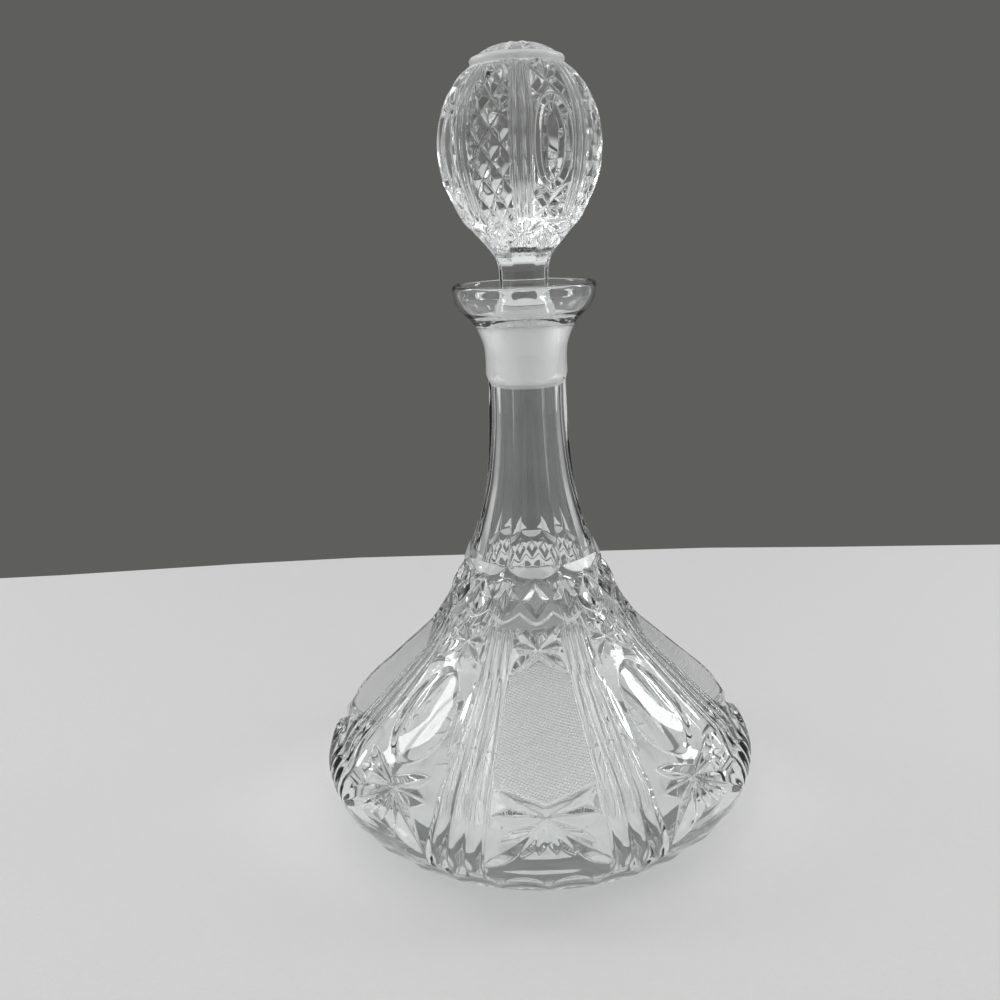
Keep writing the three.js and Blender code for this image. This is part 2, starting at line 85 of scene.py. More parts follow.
class Socket:
    """A shader value, with Python's operators standing for Math nodes."""

    def __init__(self, shader: "Shader", link: bpy.types.NodeSocket) -> None:
        """Wrap an output of a shader's node."""
        self.shader = shader
        self.link = link

    def math(self, operation: str, *others: "Socket | float") -> "Socket":
        """Value of a Math node with this as its first input."""
        inputs = dict(enumerate((self, *others)))
        return self.shader.node("ShaderNodeMath", {"operation": operation}, inputs)

    def __rsub__(self, other: float) -> "Socket":
        """Difference from a number."""
        return self.shader.node("ShaderNodeMath", {"operation": "SUBTRACT"}, {0: other, 1: self})

    __add__ = operator("ADD")
    __sub__ = operator("SUBTRACT")
    __mul__ = operator("MULTIPLY")
    __truediv__ = operator("DIVIDE")
    __abs__ = operator("ABSOLUTE")

    def smooth(self, low: float, high: float) -> "Socket":
        """Smooth rise from 0 to 1 between two values."""
        inputs = {"Value": self, "From Min": low, "From Max": high}
        return self.shader.node("ShaderNodeMapRange", {"interpolation_type": "SMOOTHSTEP"}, inputs)

    def wrapped(self, period: float, start: float = 0.0) -> "Socket":
        """Signed distance from the nearest of several equally spaced values."""
        return (self + (period / 2 - start)).math("FLOORED_MODULO", period) - period / 2

    def within(self, low: "Socket | float", high: "Socket | float", fades: Pair) -> "Socket":
        """Mask that is 1 between two values and fades out inside them."""
        return (self - low).smooth(0, fades[0]) * (high - self).smooth(0, fades[1])


class Shader:
    """Builder of the nodes of a material or a world."""

    def __init__(self, owner: bpy.types.Material | bpy.types.World) -> None:
        """Start with no nodes.

        Args:
            owner: The material or world that gets the nodes.
        """
        owner.use_nodes = True
        self.tree = owner.node_tree
        self.tree.nodes.clear()

    def node(
        self,
        kind: str,
        settings: dict[str, object],
        inputs: dict[str | int, object],
        output: str | int = 0,
    ) -> Socket:
        """Add a node.

        Args:
            kind: The node's type.
            settings: Its properties, which are set first.
            inputs: Values, colours or sockets by the input's name or number.
            output: The output to return.

        Returns:
            The chosen output.
        """
        node = self.tree.nodes.new(kind)
        for name, value in settings.items():
            setattr(node, name, value)
        for key, value in inputs.items():
            if isinstance(value, Socket):
                self.tree.links.new(value.link, node.inputs[key])
            else:
                node.inputs[key].default_value = (*value, 1) if isinstance(value, tuple) else value
        return Socket(self, node.outputs[output])

    def split(self, vector: Socket) -> tuple[Socket, Socket, Socket]:
        """Components of a vector."""
        parts = self.node("ShaderNodeSeparateXYZ", {}, {0: vector}).link.node.outputs
        return tuple(Socket(self, part) for part in parts)

    def place(self) -> Socket:
        """Place on the piece in its own frame, in metres."""
        return self.node("ShaderNodeTexCoord", {}, {}, "Object")

    def around(self) -> tuple[Socket, Socket, Socket]:
        """Place on the piece, as seen from the axis.

        Returns:
            The angle, the radius and the height.
        """
        x, y, z = self.split(self.place())
        angle = x.math("ARCTAN2", y * -1.0) / DEGREE
        return angle, (x * x + y * y).math("SQRT") / MM, z / MM

    def noise(self, scale: float, detail: float = 2.0) -> Socket:
        """Noise over the piece, from 0 to 1, with its scale in waves to the metre."""
        inputs = {"Vector": self.place(), "Scale": scale, "Detail": detail}
        return self.node("ShaderNodeTexNoise", {}, inputs)

    def bump(self, relief: Socket, height: float, strength: float = 1.0) -> Socket:
        """Normal of a surface whose relief of 1 is as high as given."""
        inputs = {"Strength": strength, "Distance": height * MM, "Height": relief}
        return self.node("ShaderNodeBump", {}, inputs)

    def glass(
        self, finish: "Glass", normal: Socket | None = None, tint: Socket | None = None
    ) -> Socket:
        """Transmitting surface of one finish.

        Args:
            finish: The finish, with its tint, roughness, IOR and clearness.
            normal: The bumped normal, if it has one.
            tint: Colour to use in place of the finish's.

        Returns:
            The surface.
        """
        inputs = {
            "Base Color": tint or finish.tint,
            "Roughness": finish.roughness,
            "IOR": finish.ior,
            "Transmission Weight": finish.clearness,
        }
        if normal:
            inputs["Normal"] = normal
        return self.node("ShaderNodeBsdfPrincipled", {}, inputs)

    def blend(self, share: Socket, first: "Socket | Colour", second: "Socket | Colour") -> Socket:
        """Mix of two colours."""
        inputs = {"Factor": share, 6: first, 7: second}
        return self.node("ShaderNodeMix", {"data_type": "RGBA"}, inputs, 2)

    def mixed(self, share: Socket, first: Socket, second: Socket) -> Socket:
        """Mix of two surfaces."""
        return self.node("ShaderNodeMixShader", {}, {0: share, 1: first, 2: second})

    def lit_through(self, surface: Socket, share: float) -> Socket:
        """Let part of the lamps' light straight through, where real glass would bend it.

        Args:
            surface: The glass.
            share: How much of the light passes each surface that faces it.

        Returns:
            The glass, which throws a pale shadow with darker edges.
        """
        path = self.node("ShaderNodeLightPath", {}, {}, "Is Shadow Ray")
        facing = self.node("ShaderNodeLayerWeight", {}, {"Blend": EDGE_BLEND}, "Facing")
        passed = path * (share - facing * EDGE_SHADE)
        return self.mixed(passed, surface, self.node("ShaderNodeBsdfTransparent", {}, {}))

    def finish(self, surface: Socket, output: str = "ShaderNodeOutputMaterial") -> None:
        """Link the surface to the output of the material or world."""
        node = self.tree.nodes.new(output)
        self.tree.links.new(surface.link, node.inputs["Surface"])


# Finishes


@dataclass(frozen=True)
class Glass:
    """What every glass finish has."""

    name: str
    tint: Colour
    ior: float = 1.52
    roughness: float = 0.0
    clearness: float = 1.0
    light_share: float = 0.95

    def surface(self, shader: Shader) -> Socket:
        """Surface of the glass, with its nodes added to a material's."""
        raise NotImplementedError

    def material(self) -> bpy.types.Material:
        """Build the material.

        Returns:
            The material.
        """
        material = bpy.data.materials.new(self.name)
        shader = Shader(material)
        shader.finish(shader.lit_through(self.surface(shader), self.light_share))
        return material


@dataclass(frozen=True)
class ClearGlass(Glass):
    """Polished lead-free glass with a faint cool tint and the waviness of pressing."""

    name: str = "clear_glass"
    tint: Colour = (0.975, 0.992, 0.987)
    light_share: float = 0.97
    ripple_size: float = 11.0
    ripple_height: float = 1.0
    ripple: float = 0.05

    def surface(self, shader: Shader, tint: Socket | None = None) -> Socket:
        """Polished surface, with another tint if one is given."""
        waves = shader.noise(1 / (self.ripple_size * MM), 1.0)
        return shader.glass(self, shader.bump(waves, self.ripple_height, self.ripple), tint)


@dataclass(frozen=True)
class GroundGlass(Glass):
    """Fine-ground glass of the joint between neck and plug, with turning marks."""

    name: str = "ground_glass"
    tint: Colour = (0.935, 0.94, 0.935)
    ior: float = 1.5
    roughness: float = 0.5
    clearness: float = 0.5
    light_share: float = 0.7
    turning_pitch: float = 0.9
    turning_height: float = 0.1
    turning: float = 0.12
    grain_scale: float = 1800.0
    grain: float = 2.0

    def surface(self, shader: Shader) -> Socket:
        """Matt surface with rings and grain.

        Args:
            shader: The builder of the material.

        Returns:
            The surface.
        """
        height = shader.around()[2]
        rings = (height * (2 * math.pi / self.turning_pitch)).math("SINE")
        relief = rings + shader.noise(self.grain_scale) * self.grain
        return shader.glass(self, shader.bump(relief, self.turning_height, self.turning))


@dataclass(frozen=True)
class MattPanelGlass(Glass):
    """Glass of the decanter's wall, cross-hatched and matt inside the four panels, with painted
    shade along the ribs' valleys.
    """

    name: str = "panelled_glass"
    tint: Colour = (0.95, 0.955, 0.95)
    roughness: float = 0.32
    clearness: float = 0.5
    hatch_pitch: float = 1.05
    hatch_slopes: Pair = (20.0, -48.0)
    hatch_depth: float = 0.45
    wall_slant: float = math.sqrt(2)
    half_angle: float = 14.4
    foot: Pair = (43.0, 47.4)
    top: Pair = (79.8, 75.0)
    edge: float = 0.5
    valleys: tuple[float, ...] = tuple(RIB_MIDDLE - FAN_EDGE + RIB_PITCH * n for n in range(4))
    valley_widths: Pair = (0.12, 0.3)
    valley_foot: float = 14.0
    valley_fade: float = 8.0
    # Painted shade: a darker glass colour along the ribs' valleys, from valley_foot up
    valley_painted_shade: Colour = (0.72, 0.73, 0.73)

    def surface(self, shader: Shader) -> Socket:
        """Clear wall with painted shade in the ribs' valleys, with the hatched fields on it.

        Args:
            shader: The builder of the material.

        Returns:
            The surface.
        """
        angle, radius, height = shader.around()
        local = angle.wrapped(2 * PANEL)
        across = local * radius * DEGREE
        along = height * self.wall_slant
        cuts = []
        for slope in self.hatch_slopes:
            lean = math.radians(slope)
            over = across * math.sin(lean) + along * math.cos(lean)
            cuts.append(abs((over * (math.pi / self.hatch_pitch)).math("SINE")))
        hatch = cuts[0].math("MINIMUM", cuts[1])
        matt = shader.glass(self, shader.bump(hatch, self.hatch_depth))
        # Painted shade: the wall's glass is coloured darker along the ribs' valleys
        dark = self._painted_valley_shade(abs(local), radius, height)
        clear = ClearGlass()
        wall = clear.surface(shader, shader.blend(dark, clear.tint, self.valley_painted_shade))
        return shader.mixed(self._inside(abs(local), height), wall, matt)

    def _painted_valley_shade(self, aside: Socket, radius: Socket, height: Socket) -> Socket:
        """Mask of the painted shade in the valleys between the ribs.

        Args:
            aside: Angle from the middle of the panel.
            radius: Distance from the axis.
            height: Height over the table.

        Returns:
            1 in the valleys and 0 beside them.
        """
        off = [abs(aside - valley) for valley in self.valleys]
        nearest = reduce(lambda first, second: first.math("MINIMUM", second), off)
        line = 1 - (nearest * radius * DEGREE).smooth(*self.valley_widths)
        return line * (height - self.valley_foot).smooth(0, self.valley_fade)

    def _inside(self, aside: Socket, height: Socket) -> Socket:
        """Mask of the panel's field, with its pointed foot and top.

        Args:
            aside: Angle from the middle of the panel.
            height: Height over the table.

        Returns:
            1 in the field and 0 around it.
        """
        across = (self.half_angle - aside).smooth(0, self.edge)
        low, high = self.ends(aside / self.half_angle)
        return height.within(low, high, (self.edge, self.edge)) * across

    def ends(self, share: Socket | Grid) -> tuple[Socket | Grid, Socket | Grid]:
        """Heights of the field's foot and top at a share of its half angle."""
        return tuple(share * (side - middle) + middle for middle, side in (self.foot, self.top))


@dataclass(frozen=True)
class LedgedGlass(Glass):
    """Glass of the diamond band, matt on the ledges at the foot of the flutes."""

    name: str = "ledged_glass"
    tint: Colour = (0.97, 0.975, 0.97)
    ior: float = 1.5
    roughness: float = 0.4
    clearness: float = 0.35
    foot: float = 107.1
    top: float = 111.2
    bend: float = 0.0088
    cover: float = 0.5
    edge: float = 0.3
    grain_scale: float = 900.0
    grain_height: float = 0.4
    grain: float = 0.3

    def surface(self, shader: Shader) -> Socket:
        """Clear band with matt lens shapes on it.

        Args:
            shader: The builder of the material.

        Returns:
            The surface.
        """
        angle, _, height = shader.around()
        aside = angle.wrapped(PANEL)
        low = aside * aside * self.bend + self.foot
        mask = height.within(low, self.top, (self.edge, self.edge))
        grain = shader.noise(self.grain_scale)
        matt = shader.glass(self, shader.bump(grain, self.grain_height, self.grain))
        return shader.mixed(mask * self.cover, ClearGlass().surface(shader), matt)


@dataclass(frozen=True, kw_only=True)
class EggGlass(Glass):
    """Clear glass of the egg, with painted shade along its grooves and matt on its bevels' edges.

    The run holds the factors of a cubic, whose constant isn't used, that gives the length
    along the outline from the hobnails' middle by the height over it.
    """

    name: str = "egg_glass"
    tint: Colour = (0.98, 0.985, 0.98)
    ior: float = 1.5
    roughness: float = 0.3
    clearness: float = 0.4
    egg: "StopperGlass"
    run: Grid
    # Painted shade: a darker glass colour in the egg's grooves
    groove_painted_shade: Colour = (0.5, 0.51, 0.51)
    groove_widths: Pair = (0.13, 0.13 / 3)
    groove_ends: Pair = (-24.0, 27.0)
    groove_fades: Pair = (3.0, 2.0)
    panel_fade: float = 0.5
    upright_width: float = 0.32
    edge_width: float = 0.3
    edge_cover: float = 0.7
    flattest: float = 0.001

    def surface(self, shader: Shader) -> Socket:
        """Clear surface with painted shade in its grooves and fine matt edges.

        Args:
            shader: The builder of the material.

        Returns:
            The surface.
        """
        egg = self.egg
        angle, radius, z = shader.around()
        over = z - (egg.socket + egg.hob_middle)
        along = ((over * self.run[0] + self.run[1]) * over + self.run[2]) * over
        # Painted shade: the glass is coloured darker in the hobnails' grooves and in the upright
        # ones
        dark = self._painted_groove_shade(angle, over, along)
        tint = shader.blend(dark, ClearGlass().tint, self.groove_painted_shade)
        aside = angle.wrapped(2 * PANEL, PANEL / 2) * radius * DEGREE
        edges = self._edges(aside, along - (egg.thumb_middle - egg.hob_middle))
        clear = ClearGlass().surface(shader, tint)
        return shader.mixed(edges * self.edge_cover, clear, shader.glass(self))

    def _painted_groove_shade(self, angle: Socket, over: Socket, along: Socket) -> Socket:
        """Mask of the painted shade in the hobnails' crossed grooves and in the upright ones.

        Args:
            angle: Angle round the axis.
            over: Height over the hobnails' middle.
            along: Length along the outline from there.

        Returns:
            1 in the grooves and 0 beside them.
        """
        egg = self.egg
        up = along / egg.hob_half_height
        hobs = angle.wrapped(2 * PANEL, -PANEL / 2)
        across = hobs * (DEGREE * egg.widest / egg.hob_half_width)
        near = [abs((across + up * side).wrapped(2.0)) for side in (1.0, -1.0)]
        nearest = near[0].math("MAXIMUM", near[1])
        groove = nearest.smooth(*(1 - width for width in self.groove_widths))
        groove = groove * (egg.panel_edge - abs(hobs)).smooth(0, self.panel_fade)
        rib = abs(angle.wrapped(PANEL))
        off = rib.math("MINIMUM", abs(rib - egg.rib_angle))
        upright = 1 - off.smooth(self.upright_width / 2, self.upright_width)
        inside = over.within(*self.groove_ends, self.groove_fades)
        return groove.math("MAXIMUM", upright) * inside

    def _edges(self, aside: Socket, above: Socket) -> Socket:
        """Mask of the two edges of the thumbprint's bevel.

        Args:
            aside: Distance to the side of the thumbprint's middle.
            above: Distance over it.

        Returns:
            1 on the edges and 0 elsewhere.
        """
        wide, tall = self.egg.thumb_half_width, self.egg.thumb_half_height
        away = (aside * aside / wide**2 + above * above / tall**2).math("SQRT")
        steepness = (aside * aside / wide**4 + above * above / tall**4).math("SQRT")
        inward = (1 - away) * away / steepness.math("MAXIMUM", self.flattest)
        off = abs(inward).math("MINIMUM", abs(inward - self.egg.thumb_bevel))
        return 1 - off.smooth(self.edge_width / 2, self.edge_width)


# Turned skins


def smooth_curve(knots: Pairs, step: float) -> Grid:
    """Smooth line through points, sampled finely.

    Args:
        knots: Points of the line.
        step: Distance between samples.

    Returns:
        The samples, one row each.
    """
    points = np.array(knots, float)
    at = np.r_[0, np.cumsum(np.linalg.norm(np.diff(points, axis=0), axis=1))]
    slopes = np.gradient(points, at, axis=0)
    fine = np.linspace(0, at[-1], max(int(at[-1] / step), 2))
    k = np.clip(np.searchsorted(at, fine, "right") - 1, 0, len(at) - 2)
    width = (at[k + 1] - at[k])[:, None]
    u = (fine - at[k])[:, None] / width
    start = (1 + 2 * u) * (1 - u) ** 2 * points[k] + u * (1 - u) ** 2 * width * slopes[k]
    end = u**2 * (3 - 2 * u) * points[k + 1] + u**2 * (u - 1) * width * slopes[k + 1]
    return start + end


def spaced(line: Grid, spacing: Pairs) -> Grid:
    """Thin a fine line out to rows whose distance changes with height.

    Args:
        line: Samples of the line, as (radius, height).
        spacing: Wanted distances, as (height, distance), with the heights rising.

    Returns:
        The rows, with both ends of the line.
    """
    heights, wanted = np.array(spacing, float).T
    gaps = np.linalg.norm(np.diff(line, axis=0), axis=1)
    local = np.interp((line[1:, 1] + line[:-1, 1]) / 2, heights, wanted)
    count = np.r_[0, np.cumsum(gaps / local)]
    ticks = np.linspace(0, count[-1], max(int(math.ceil(count[-1])), 1) + 1)
    return np.stack([np.interp(ticks, count, line[:, i]) for i in range(2)], 1)


@dataclass(frozen=True)
class Run:
    """A stretch of a turned outline."""

    knots: Pairs
    spacing: Pairs
    curved: bool = True

    def rows(self) -> Grid:
        """Rows of the stretch.

        Returns:
            The radius and the height of each.
        """
        if self.curved:
            return spaced(smooth_curve(self.knots, FINE), self.spacing)
        points = np.array(self.knots, float)
        fine = [
            np.linspace(a, b, max(int(np.linalg.norm(b - a) / FINE), 2))
            for a, b in zip(points[:-1], points[1:])
        ]
        return spaced(np.concatenate(fine), self.spacing)


class Skin:
    """Turned surface as a grid of rows and columns, displaced along its normals."""

    def __init__(self, runs: tuple[Run, ...], columns: int, lift: float = 0.0) -> None:
        """Lay out the grid.

        Args:
            runs: Stretches of the outline, from axis to axis.
            columns: Number of columns round the axis.
            lift: Height over the table that the outline's heights count from.
        """
        parts = [run.rows() for run in runs]
        self.breaks = np.cumsum([0] + [len(part) - 1 for part in parts])
        rows = [parts[0]] + [part[1:] for part in parts[1:]]
        rows = np.concatenate(rows)
        self.angle = np.arange(columns) * (360 / columns)
        self.radius, self.height = rows[:, :1], rows[:, 1:]
        steps = np.linalg.norm(np.diff(rows, axis=0), axis=1)
        self.run = np.r_[0, np.cumsum(steps)][:, None]
        along = np.gradient(rows, self.run[:, 0], axis=0)
        along /= np.linalg.norm(along, axis=1)[:, None]
        self.out = np.stack([along[:, 1], -along[:, 0]], 1)
        self.offset = np.zeros((len(rows), columns))
        self.lift = lift

    def points(self) -> Grid:
        """Points of the grid in metres.

        Returns:
            One point for each row and column.
        """
        radius = self.radius + self.offset * self.out[:, :1]
        height = self.lift + self.height + self.offset * self.out[:, 1:]
        turn = np.radians(self.angle)[None, :]
        return np.stack([radius * np.sin(turn), -radius * np.cos(turn), height], 2) * MM

    def normals(self, points: Grid) -> Grid:
        """Unit normals of the grid.

        Args:
            points: The grid's points.

        Returns:
            One normal for each point.
        """
        around = np.roll(points, -1, 1) - np.roll(points, 1, 1)
        normals = np.cross(around, np.gradient(points, axis=0))
        flat = np.linalg.norm(normals, axis=2) < NO_AREA
        normals[flat] = (0, 0, 1)
        normals /= np.linalg.norm(normals, axis=2)[..., None]
        normals[0] = (0, 0, -1)
        normals[-1] = (0, 0, 1)
        return normals

    def piece(self, name: str, first: int, last: int, finish: bpy.types.Material) -> Piece:
        """Mesh of the rows from one to another.

        Args:
            name: Name of the piece.
            first: First row.
            last: Last row.
            finish: Its material.

        Returns:
            The new object, in the scene.
        """
        points = self.points()
        normals = self.normals(points)
        columns = len(self.angle)
        poles = [i for i in (first, last) if self.radius[i, 0] < NO_RADIUS]
        rings = [i for i in range(first, last + 1) if i not in poles]
        vertices = points[rings].reshape(-1, 3)
        shading = normals[rings].reshape(-1, 3)
        j = np.arange(columns)
        k = (j + 1) % columns
        base = (np.arange(len(rings) - 1) * columns)[:, None]
        quads = np.stack([base + j, base + k, base + columns + k, base + columns + j], 2)
        faces = quads.reshape(-1, 4).tolist()
        for pole in poles:
            vertices = np.vstack([vertices, points[pole, :1]])
            shading = np.vstack([shading, normals[pole, :1]])
            tip = len(vertices) - 1
            start = 0 if pole == first else (len(rings) - 1) * columns
            pair = (start + k, start + j) if pole == first else (start + j, start + k)
            faces += np.stack([np.full(columns, tip), *pair], 1).tolist()
        mesh = bpy.data.meshes.new(name)
        mesh.from_pydata(vertices.tolist(), [], faces)
        mesh.update()
        mesh.shade_smooth()
        mesh.normals_split_custom_set_from_vertices(shading.tolist())
        mesh.materials.append(finish)
        piece = bpy.data.objects.new(name, mesh)
        bpy.context.scene.collection.objects.link(piece)
        return piece


class Rows:
    """Neighbouring rows of a skin, which one ornament is pressed into."""

    def __init__(self, skin: Skin, first: int, end: int) -> None:
        """Look at some rows of a skin.

        Args:
            skin: The skin.
            first: The first row.
            end: The row after the last one.
        """
        self.angle = skin.angle
        self.height = skin.height[first:end]
        self.radius = skin.radius[first:end]
        self.run = skin.run[first:end]
        self.out = skin.out[first:end, :1]
        self.offset = skin.offset[first:end]

    def press(self, depth: Grid) -> None:
        """Push the rows in by a depth."""
        self.offset -= depth

    def local(self, period: float, start: float = 0.0) -> Grid:
        """Signed angle of each column from the nearest of several equally spaced middles."""
        return ((self.angle - start + period / 2) % period - period / 2)[None, :]

    def run_at(self, height: float) -> float:
        """Length along the outline at a height."""
        return float(np.interp(height, self.height[:, 0], self.run[:, 0]))

    def radius_at(self, height: float) -> float:
        """Radius of the outline at a height."""
        return float(np.interp(height, self.height[:, 0], self.radius[:, 0]))

    def above(self, height: float) -> Grid:
        """Length along the outline over a height."""
        return self.run - self.run_at(height)


def part_way(value: Grid, low: float, high: float) -> Grid:
    """Share of the way from one value to another, from 0 to 1."""
    return np.clip((value - low) / (high - low), 0, 1)


def mitre(x: Grid, y: Grid, tip: Pair, depth: float, slope: float) -> Grid:
    """V-shaped valley from the middle of a star to a tip, where it runs out.

    Args:
        x: Distance to the side of the middle.
        y: Distance over the middle.
        tip: Where the valley ends.
        depth: Its depth in the middle of the star.
        slope: How steep its sides are.

    Returns:
        Depth of the valley, 0 outside it.
    """
    along = np.clip((x * tip[0] + y * tip[1]) / (tip[0] ** 2 + tip[1] ** 2), 0, 1)
    aside = np.hypot(x - along * tip[0], y - along * tip[1])
    closing = 1 - (np.clip(along - PETAL_PEAK, 0, None) / (1 - PETAL_PEAK)) ** 2
    return np.clip(depth * closing - slope * aside, 0, None)


def ease(value: Grid, low: float, high: float) -> Grid:
    """Smooth step from 0 to 1 between two values."""
    share = part_way(value, low, high)
    return share * share * (3 - 2 * share)


def within(value: Grid, ends: tuple, fades: Pair) -> Grid:
    """Mask that is 1 between two ends, which may be arrays, and fades out inside them."""
    low, high = ends
    return ease(value, low, low + fades[0]) * (1 - ease(value, high - fades[1], high))


def rounded(aside: Grid) -> Grid:
    """How far a rib's section falls off, 0 in its middle and nearly 1 at its edges."""
    return 1 - np.sqrt(np.clip(1 - ROUNDNESS * aside**2, 0, 1))


@dataclass(frozen=True)
class Star:
    """Star of petal cuts, given for its right side and mirrored to the left."""

    height: float
    tips: Pairs
    depths: tuple[float, ...]
    slope: float = 0.72

    def depth(self, rows: Rows) -> Grid:
        """Depth of the cuts of a star in each eighth of the pattern.

        Args:
            rows: The rows that it lies in.

        Returns:
            Depth over the rows and columns.
        """
        middle = rows.run_at(self.height)
        x = np.radians(np.abs(rows.local(PANEL))) * rows.radius
        y = rows.run - middle
        depth = np.zeros_like(x)
        for (aside, above), deepest in zip(self.tips, self.depths):
            at = self.height + above
            tip = (math.radians(aside) * rows.radius_at(at), rows.run_at(at) - middle)
            depth = np.maximum(depth, mitre(x, y, tip, deepest, self.slope))
        return depth


@dataclass
class DecanterBody:
    """The decanter without its stopper, as one wall of glass with a smooth hollow."""

    columns: int = 720
    piece_ends: Pair = (45.0, 88.0)
    foot: Run = Run(((0, 3), (48, 3), (62, 0), (70, 0)), ((0, 2.4), (3, 2.4)), curved=False)
    wall: Run = Run(
        (
            (70, 0), (72.6, 1.7), (76.2, 4.4), (81.2, 8.6), (84.6, 11.8), (87, 15.2), (89.2, 20),
            (90, 25), (88.8, 29), (83.8, 36), (78.6, 44), (74.4, 48), (70, 52), (61.6, 60),
            (53.2, 68), (45.2, 76), (39.6, 84), (34.9, 92), (31.1, 100), (29.2, 103.6),
            (28.4, 105.6), (28.1, 107), (27.8, 109.5), (27.2, 112),
        ),
        ((0, 0.5), (88, 0.5), (92, 0.42), (112, 0.42)),
    )
    neck: Run = Run(
        (
            (27.2, 112), (25.9, 114.8), (24.5, 118), (23.3, 121.2), (21.9, 126.3), (20.4, 132),
            (18.4, 143), (17.3, 152), (16.65, 162), (16.3, 172), (15.95, 183), (15.8, 189),
            (16.2, 193.6), (17.3, 197), (19.4, 201.5), (22.6, 205), (25, 207.5), (26.3, 209.6),
            (27, 212.5), (27.3, 215.2),
        ),
        ((112, 0.45), (118, 1), (122, 2.5), (176, 3), (180, 0.6), (184, 0.6), (190, 1.5)),
    )
    rim: Run = Run(
        ((27.3, 215.2), (27, 216.4), (26.1, 216.8), (25.2, 216.4), (24.8, 215.2)),
        ((215, 0.5), (217, 0.5)),
    )
    mouth: Run = Run(
        ((24.8, 215.2), (24.2, 211), (22.4, 208), (19.2, 205.6), (15.5, 204), (12.7, 203)),
        ((203, 1.1), (216, 1.1)),
    )
    socket: Run = Run(((12.7, 203), (11.7, 179), (11.2, 178)), ((178, 1), (203, 2.5)), curved=False)
    hollow: Run = Run(
        (
            (11.2, 178), (11.1, 168), (11.6, 159), (12.7, 148), (14.2, 138), (17.2, 126),
            (20.8, 114), (25.8, 100), (30.4, 90), (36.4, 80.4), (43.3, 71.5), (53.2, 60.6),
            (62.8, 50.6), (70, 43.2), (78, 34), (83.2, 27), (84.2, 21), (82.2, 15.2), (77, 11.2),
            (68, 9.6), (60, 9.5),
        ),
        ((9, 2.4), (30, 3), (180, 4)),
    )
    floor: Run = Run(((60, 9.5), (0, 9.5)), ((9, 6), (10, 6)), curved=False)
    low_star: Star = Star(
        38.8,
        ((13, 7.2), (13.6, 0.2), (15.4, -15), (6.6, -10.5), (2.2, -9.6)),
        (2.2, 2.6, 2.8, 2.2, 2.0),
    )
    top_star: Star = Star(83.4, ((13, 7.4), (13.8, 0.6), (13.8, -7.6)), (1.9, 1.8, 1.8))
    rib_swell: float = 0.38
    rib_ends: Pair = (10.0, 90.5)
    rib_fades: Pair = (8.0, 2.5)
    rib_side: float = 0.5
    thumb_height: float = 60.2
    thumb_half_height: float = 14.0
    thumb_half_angle: float = 11.6
    thumb_depth: float = 1.9
    thumb_bevel: float = 1.1
    thumb_bevel_share: float = 0.1
    thumb_rim: float = 0.3
    thumb_rim_share: float = 0.08
    leaf_angle: float = 15.7
    leaf_ends: Pair = (50.5, 73.5)
    leaf_half_width: float = 1.5
    leaf_depth: float = 2.6
    leaf_fullness: float = 0.8
    panel_sink: float = 0.45
    panel_edge: float = 0.3
    panel_fades: Pair = (0.6, 0.6)
    panel_side: float = 1.05
    diamond_height: float = 99.6
    diamond_half_height: float = 6.4
    diamond_half_angle: float = 10.6
    diamond_rise: float = 1.7
    diamond_table: Pair = (0.42, 0.6)
    diamond_steepest: float = 0.01
    band_sink: float = 1.1
    band_foot: Pair = (1.6, 3.6)
    band_top: Pair = (1.4, 3.0)
    band_edges: Pair = (0.1, 0.2)
    band_fades: Pair = (0.6, 0.6)
    band_wave: float = 1.5
    flute_ends: Pair = (107.0, 182.3)
    flute_arch: float = 1.6
    flute_edge: float = 0.4
    ledge_slope: float = 0.6
    flute_flatness: float = 0.927
    scoops: int = 32
    scoop_side: float = 13.8
    scoop_slope: float = 0.77
    scoop_depth: float = 1.3
    rays: int = 16
    ray_ends: Pair = (6.0, 46.0)
    ray_limit: float = 47.0
    ray_width: float = 3.6
    ray_fullness: float = 0.7
    ray_slope: float = 0.42

    def build(self) -> list[Piece]:
        """Build the seven pieces of the wall.

        Returns:
            The foot, base, shoulder, band, neck, socket and hollow.
        """
        outside = (self.foot, self.wall, self.neck, self.rim)
        inside = (self.mouth, self.socket, self.hollow, self.floor)
        skin = Skin(outside + inside, self.columns)
        foot, wall, neck, rim, _, socket, hollow, _, end = skin.breaks
        self._press_foot(Rows(skin, foot, wall))
        self._press_wall(Rows(skin, wall, rim + 1))
        panelled = MattPanelGlass().material()
        ledged = LedgedGlass().material()
        clear = ClearGlass().material()
        ring = ClearGlass("foot_glass", roughness=0.35).material()
        ground = GroundGlass().material()
        heights = skin.height[wall:neck, 0]
        base, band = (int(np.searchsorted(heights, level)) + wall for level in self.piece_ends)
        return [
            skin.piece("decanter_foot", foot, wall, ring),
            skin.piece("decanter_base", wall, base, panelled),
            skin.piece("decanter_shoulder", base, band, panelled),
            skin.piece("decanter_band", band, neck, ledged),
            skin.piece("decanter_neck", neck, socket, clear),
            skin.piece("decanter_socket", socket, hollow, ground),
            skin.piece("decanter_hollow", hollow, end, clear),
        ]

    def _press_foot(self, rows: Rows) -> None:
        """Cut rays into the hollow under the foot.

        Args:
            rows: The rows of the foot.
        """
        aside = np.abs(np.radians(rows.local(360 / self.rays))) * rows.radius
        along = part_way(rows.radius, *self.ray_ends)
        belly = self.ray_width * np.sin(math.pi * along) ** self.ray_fullness
        depth = self.ray_slope * np.clip(belly - aside, 0, None)
        rows.press(depth * (rows.radius < self.ray_limit))

